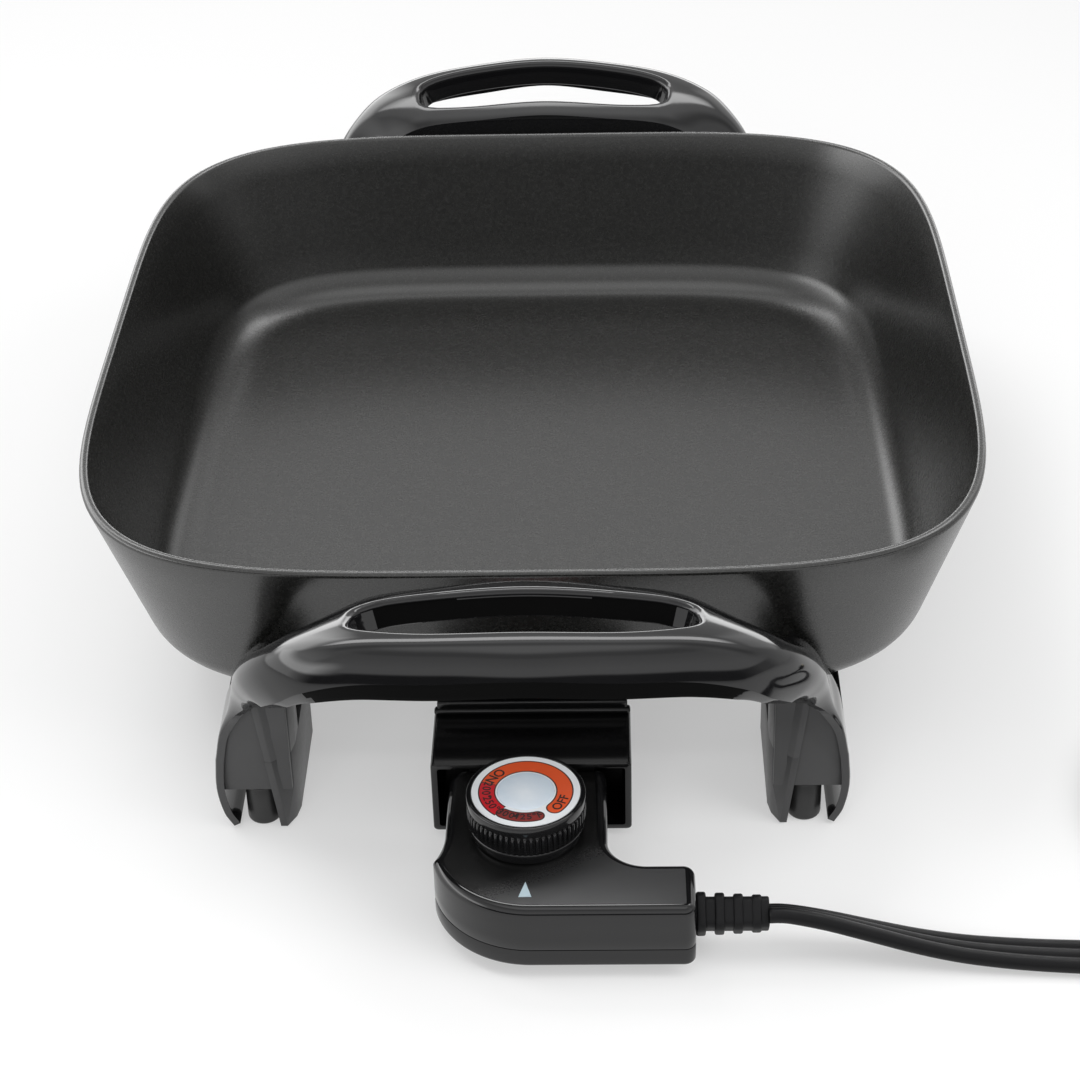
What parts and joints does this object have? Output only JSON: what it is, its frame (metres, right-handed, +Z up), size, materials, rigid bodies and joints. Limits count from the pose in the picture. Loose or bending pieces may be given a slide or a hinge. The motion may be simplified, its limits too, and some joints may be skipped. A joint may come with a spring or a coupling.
{
  "type": "electric skillet",
  "caption": "Deep square electric skillet with a rounded-corner coated pan, moulded handles that run down into legs, and a plug-in dial control on a short flat cord.",
  "frame": {"origin": "middle of the footprint of the skillet with its control plugged in, without the cord, on the table's surface", "axes": "+X to the right seen from the front, +Y to the back, away from the control, +Z up"},
  "size_m": [0.4894, 0.4575, 0.1064],
  "materials": {
    "coated_pan": "speckled charcoal non-stick coating, satin",
    "heater_sheath": "heat-toned metal sheath",
    "plain_steel": "plain pressed steel",
    "plated_steel": "bright plated",
    "bright_steel": "polished stainless tube",
    "white_ceramic": "unglazed",
    "black_phenolic": "glossy moulded phenolic",
    "black_plastic": "glossy moulding",
    "dark_moulding": "heat-resistant moulding",
    "spring_brass": "sprung strip",
    "bimetal": "rolled strip",
    "lamp_glass": "small neon bulb",
    "printed_label": "printed scale in black, orange and red",
    "clear_lens": "cast lens",
    "pointer_paint": "pale printed triangle",
    "cord_vinyl": "flexible cord jacket, satin",
    "tie_band": "soft strap",
    "black_rubber": "matte",
    "plated_brass": "bright blades"
  },
  "bodies": {
    "skillet": {"pan": "coated_pan", "heating_element": "heater_sheath", "element_clips": "plain_steel", "terminal_pins": "plated_steel", "pin_insulators": "white_ceramic", "probe_tube": "plain_steel", "terminal_guard": "black_phenolic", "guard_screws": "plated_steel", "front_handle": "black_phenolic", "rear_handle": "black_phenolic", "handle_studs": "plain_steel", "handle_nuts": "plated_steel", "feet": "black_rubber"},
    "control": {"upper_housing": "black_plastic", "lower_housing": "black_plastic", "housing_screws": "plated_steel", "nose_block": "dark_moulding", "socket_clips": "spring_brass", "probe": "bright_steel", "thermostat_frame": "plain_steel", "bimetal_blade": "bimetal", "contact_blade": "spring_brass", "signal_lamp": "lamp_glass", "pointer_mark": "pointer_paint", "strain_relief": "cord_vinyl", "cord": "cord_vinyl", "cord_coil": "cord_vinyl", "cord_end": "cord_vinyl", "coil_tie": "tie_band", "plug_body": "cord_vinyl", "plug_blades": "plated_brass"},
    "dial": {"adjusting_shaft": "plated_steel", "dial_knob": "black_plastic", "dial_label": "printed_label", "signal_lens": "clear_lens"}
  },
  "joints": [
    {"name": "control_pull", "type": "slide", "parent": "skillet", "child": "control", "axis": [0, -1, 0], "range_m": [0, 0.06]},
    {"name": "dial_turn", "type": "hinge", "parent": "control", "child": "dial", "pos_m": [-0.0006, -0.1894, 0.0275], "axis": [0, 0, 1], "range_deg": [-10, 310]}
  ]
}
